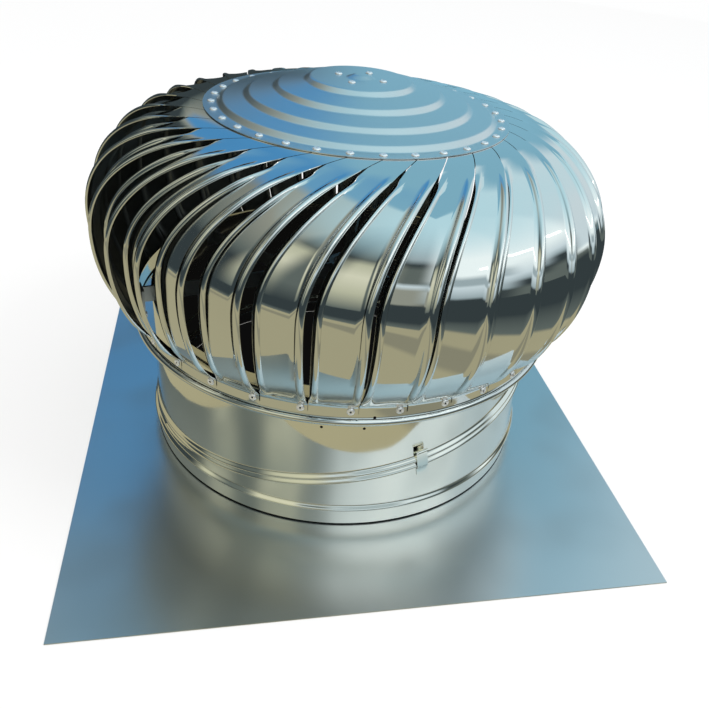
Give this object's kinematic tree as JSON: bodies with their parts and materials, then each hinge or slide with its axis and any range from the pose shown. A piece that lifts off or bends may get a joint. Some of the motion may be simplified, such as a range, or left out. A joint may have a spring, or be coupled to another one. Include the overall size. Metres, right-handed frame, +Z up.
{
  "type": "turbine roof vent",
  "caption": "Wind-driven turbine roof vent: a polished vaned globe with a stepped cap spins on a fixed shaft above a variable-pitch round neck and a flat roof plate.",
  "frame": {"origin": "centre of the roof plate's underside, on the neck axis", "axes": "+Z up along the head's spin axis, +X towards the high side of the oblique neck joint, +Y away from the picture's viewer"},
  "size_m": [0.665, 0.745, 0.4688],
  "materials": {
    "polished_sheet": "mirror-polished stainless sheet",
    "satin_sheet": "satin rolled stainless sheet",
    "bar_steel": "plain mill bar and pressings",
    "turned_steel": "turned steel",
    "rivet": "bright rivet heads"
  },
  "bodies": {
    "base": {"base_plate": "satin_sheet", "lower_neck": "polished_sheet"},
    "neck": {"upper_neck": "polished_sheet", "brace_hub": "bar_steel", "brace_arm_1": "bar_steel", "brace_arm_2": "bar_steel", "brace_arm_3": "bar_steel", "brace_rivets": "rivet", "shaft": "turned_steel", "shaft_nuts": "turned_steel", "shaft_collar": "turned_steel", "retaining_ring": "turned_steel"},
    "rotor": {"top_cap": "satin_sheet", "skirt_ring": "polished_sheet", "bearing_housing": "bar_steel", "housing_rivets": "rivet", "upper_bearing": "turned_steel", "lower_hub": "bar_steel", "lower_bearing": "turned_steel", "spider_arm_1": "bar_steel", "spider_arm_2": "bar_steel", "spider_arm_3": "bar_steel", "spider_rivets": "rivet", "cap_rivets": "rivet", "skirt_rivets": "rivet", "vane_01": "polished_sheet", "vane_02": "polished_sheet", "vane_03": "polished_sheet", "vane_04": "polished_sheet", "vane_05": "polished_sheet", "vane_06": "polished_sheet", "vane_07": "polished_sheet", "vane_08": "polished_sheet", "vane_09": "polished_sheet", "vane_10": "polished_sheet", "vane_11": "polished_sheet", "vane_12": "polished_sheet", "vane_13": "polished_sheet", "vane_14": "polished_sheet", "vane_15": "polished_sheet", "vane_16": "polished_sheet", "vane_17": "polished_sheet", "vane_18": "polished_sheet", "vane_19": "polished_sheet", "vane_20": "polished_sheet", "vane_21": "polished_sheet", "vane_22": "polished_sheet", "vane_23": "polished_sheet", "vane_24": "polished_sheet", "vane_25": "polished_sheet", "vane_26": "polished_sheet", "vane_27": "polished_sheet", "vane_28": "polished_sheet", "vane_29": "polished_sheet", "vane_30": "polished_sheet", "vane_31": "polished_sheet", "vane_32": "polished_sheet"}
  },
  "joints": [
    {"name": "neck_swivel", "type": "hinge", "parent": "base", "child": "neck", "pos_m": [0, 0, 0.084], "axis": [-0.1643, -0.0155, 0.9863], "continuous": true},
    {"name": "rotor_spin", "type": "hinge", "parent": "neck", "child": "rotor", "pos_m": [0, 0, 0.3], "axis": [0, 0, 1], "continuous": true}
  ]
}
